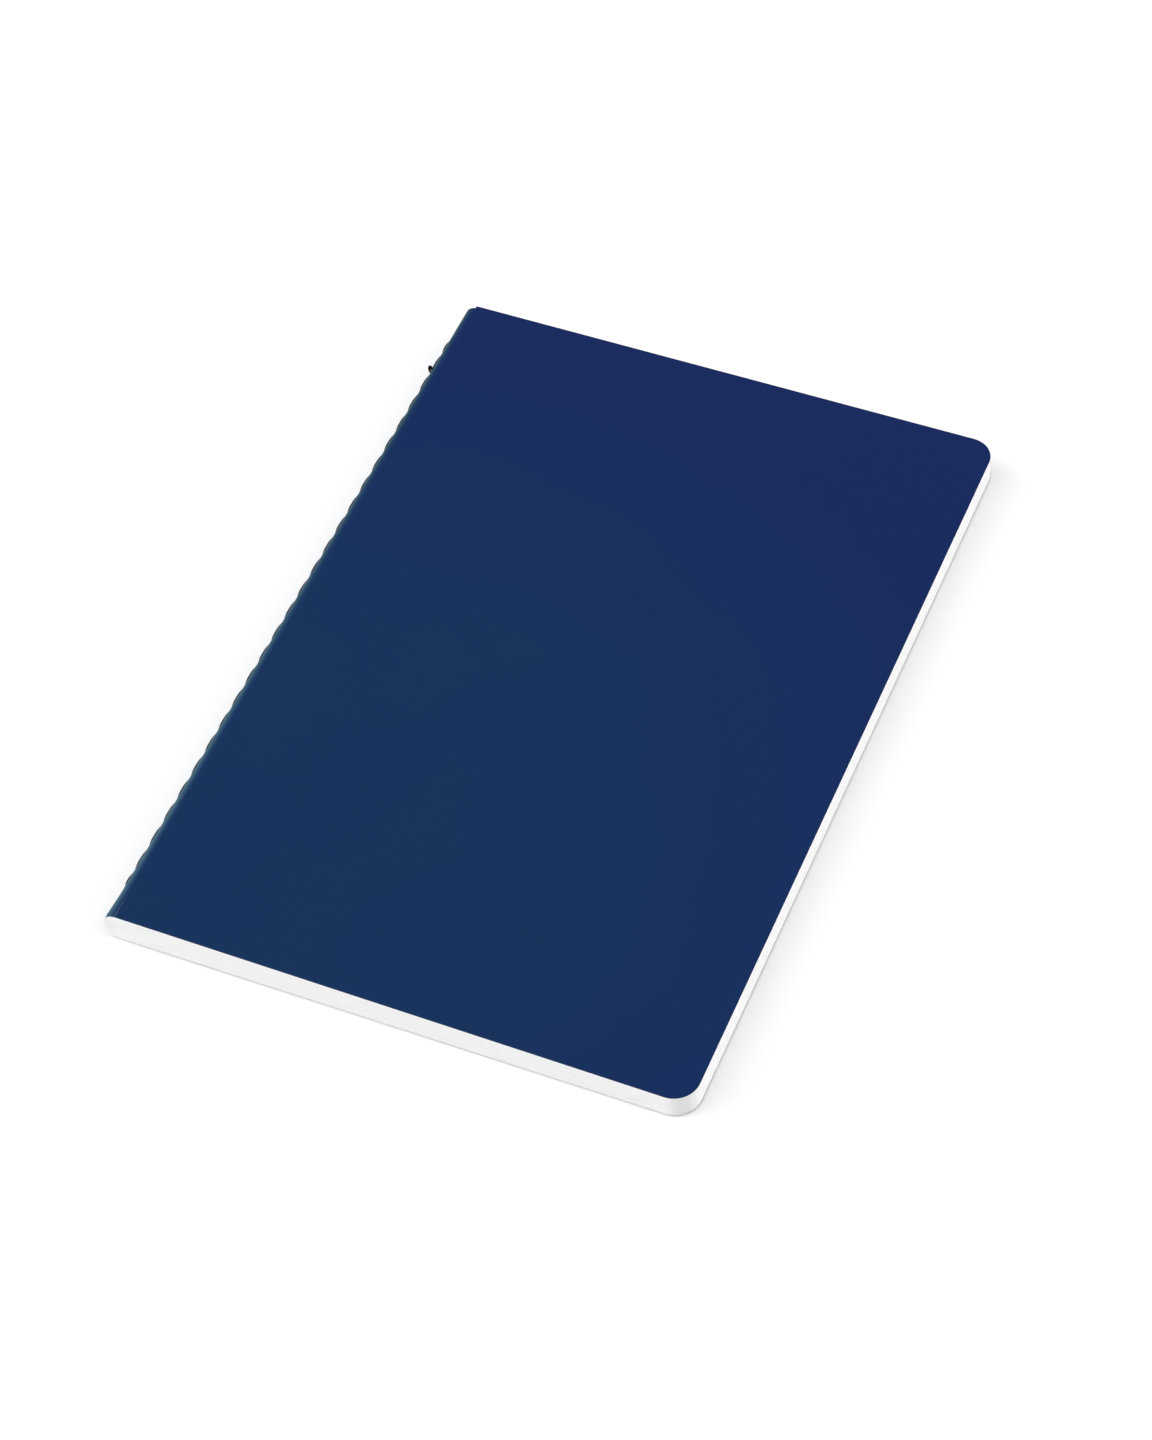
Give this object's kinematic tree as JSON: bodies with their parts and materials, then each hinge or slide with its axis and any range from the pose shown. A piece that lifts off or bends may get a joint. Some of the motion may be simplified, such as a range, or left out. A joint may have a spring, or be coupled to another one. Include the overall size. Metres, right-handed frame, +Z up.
{
  "type": "notebook",
  "caption": "Soft-cover A5 notebook with a sewn rounded fold, navy card cover, white leaves and rounded fore-edge corners.",
  "frame": {"origin": "the middle of the format on the flat underside of the back cover", "axes": "+Z up out of the front cover, +Y from tail to head along the fold, -X towards the fold"},
  "size_m": [0.1496, 0.21, 0.0086],
  "materials": {
    "paper": "uncoated white writing paper",
    "cover_card": "smooth card, navy and matt on its outer face, with a white core",
    "thread": "twisted sewing thread, dark navy"
  },
  "bodies": {
    "back_block": {"sheet_01_back_leaf": "paper", "sheet_02_back_leaf": "paper", "sheet_03_back_leaf": "paper", "sheet_04_back_leaf": "paper", "sheet_05_back_leaf": "paper", "sheet_06_back_leaf": "paper", "sheet_07_back_leaf": "paper", "sheet_08_back_leaf": "paper", "sheet_09_back_leaf": "paper", "sheet_10_back_leaf": "paper", "sheet_11_back_leaf": "paper", "sheet_12_back_leaf": "paper", "sheet_13_back_leaf": "paper", "sheet_14_back_leaf": "paper", "sheet_15_back_leaf": "paper", "sheet_16_back_leaf": "paper", "sheet_17_back_leaf": "paper", "sheet_18_back_leaf": "paper", "sheet_19_back_leaf": "paper", "sheet_20_back_leaf": "paper", "sheet_21_back_leaf": "paper", "sheet_22_back_leaf": "paper", "sheet_23_back_leaf": "paper", "sheet_24_back_leaf": "paper", "sheet_25_back_leaf": "paper"},
    "front_block": {"sheet_01_front_leaf": "paper", "sheet_02_front_leaf": "paper", "sheet_03_front_leaf": "paper", "sheet_04_front_leaf": "paper", "sheet_05_front_leaf": "paper", "sheet_06_front_leaf": "paper", "sheet_07_front_leaf": "paper", "sheet_08_front_leaf": "paper", "sheet_09_front_leaf": "paper", "sheet_10_front_leaf": "paper", "sheet_11_front_leaf": "paper", "sheet_12_front_leaf": "paper", "sheet_13_front_leaf": "paper", "sheet_14_front_leaf": "paper", "sheet_15_front_leaf": "paper", "sheet_16_front_leaf": "paper", "sheet_17_front_leaf": "paper", "sheet_18_front_leaf": "paper", "sheet_19_front_leaf": "paper"},
    "front_cover": {"cover_front": "cover_card"},
    "back_cover": {"cover_back": "cover_card"},
    "spine": {"cover_fold": "cover_card", "outer_thread": "thread", "thread_end": "thread"},
    "sheet_fold": {"sheet_folds": "paper", "inner_thread": "thread"},
    "turning_leaf_25": {"sheet_25_front_leaf": "paper"},
    "turning_leaf_24": {"sheet_24_front_leaf": "paper"},
    "turning_leaf_23": {"sheet_23_front_leaf": "paper"},
    "turning_leaf_22": {"sheet_22_front_leaf": "paper"},
    "turning_leaf_21": {"sheet_21_front_leaf": "paper"},
    "turning_leaf_20": {"sheet_20_front_leaf": "paper"}
  },
  "joints": [
    {"name": "block_opening", "type": "hinge", "parent": "back_block", "child": "front_block", "pos_m": [-0.0704, 0, 0.00431], "axis": [0, -1, 0], "range_deg": [0, 180.6], "deforming": ["sheet_folds", "cover_fold"]},
    {"name": "front_cover_opening", "type": "hinge", "parent": "front_block", "child": "front_cover", "pos_m": [-0.0704, 0, 0.00864], "axis": [0, -1, 0], "range_deg": [0, 179.9]},
    {"name": "back_cover_opening", "type": "hinge", "parent": "back_block", "child": "back_cover", "pos_m": [-0.0704, 0, -0.00002], "axis": [0, 1, 0], "range_deg": [0, 179.9]},
    {"name": "spine_turn", "type": "hinge", "parent": "back_block", "child": "spine", "pos_m": [-0.0704, 0, 0.00431], "axis": [0, -1, 0], "range_deg": [0, 90.3]},
    {"name": "sheet_fold_turn", "type": "hinge", "parent": "front_block", "child": "sheet_fold", "pos_m": [-0.0704, 0, 0.00431], "axis": [0, 1, 0], "range_deg": [0, 90.3]},
    {"name": "leaf_25_turn", "type": "hinge", "parent": "back_block", "child": "turning_leaf_25", "pos_m": [-0.0704, 0, 0.00431], "axis": [0, -1, 0], "range_deg": [0, 11.3]},
    {"name": "leaf_24_turn", "type": "hinge", "parent": "back_block", "child": "turning_leaf_24", "pos_m": [-0.0704, 0, 0.00431], "axis": [0, -1, 0], "range_deg": [0, 29.4]},
    {"name": "leaf_23_turn", "type": "hinge", "parent": "back_block", "child": "turning_leaf_23", "pos_m": [-0.0704, 0, 0.00431], "axis": [0, -1, 0], "range_deg": [0, 76.4]},
    {"name": "leaf_22_turn", "type": "hinge", "parent": "back_block", "child": "turning_leaf_22", "pos_m": [-0.0704, 0, 0.00431], "axis": [0, -1, 0], "range_deg": [0, 145]},
    {"name": "leaf_21_turn", "type": "hinge", "parent": "back_block", "child": "turning_leaf_21", "pos_m": [-0.0704, 0, 0.00431], "axis": [0, -1, 0], "range_deg": [0, 163]},
    {"name": "leaf_20_turn", "type": "hinge", "parent": "back_block", "child": "turning_leaf_20", "pos_m": [-0.0704, 0, 0.00431], "axis": [0, -1, 0], "range_deg": [0, 174.8]}
  ],
  "couplings": [
    {"joint": "spine_turn", "follows": "block_opening", "ratio": 0.5},
    {"joint": "sheet_fold_turn", "follows": "block_opening", "ratio": 0.5},
    {"joint": "leaf_25_turn", "follows": "block_opening", "ratio": 0.06},
    {"joint": "leaf_24_turn", "follows": "block_opening", "ratio": 0.16},
    {"joint": "leaf_23_turn", "follows": "block_opening", "ratio": 0.42},
    {"joint": "leaf_22_turn", "follows": "block_opening", "ratio": 0.8},
    {"joint": "leaf_21_turn", "follows": "block_opening", "ratio": 0.9},
    {"joint": "leaf_20_turn", "follows": "block_opening", "ratio": 0.965}
  ]
}
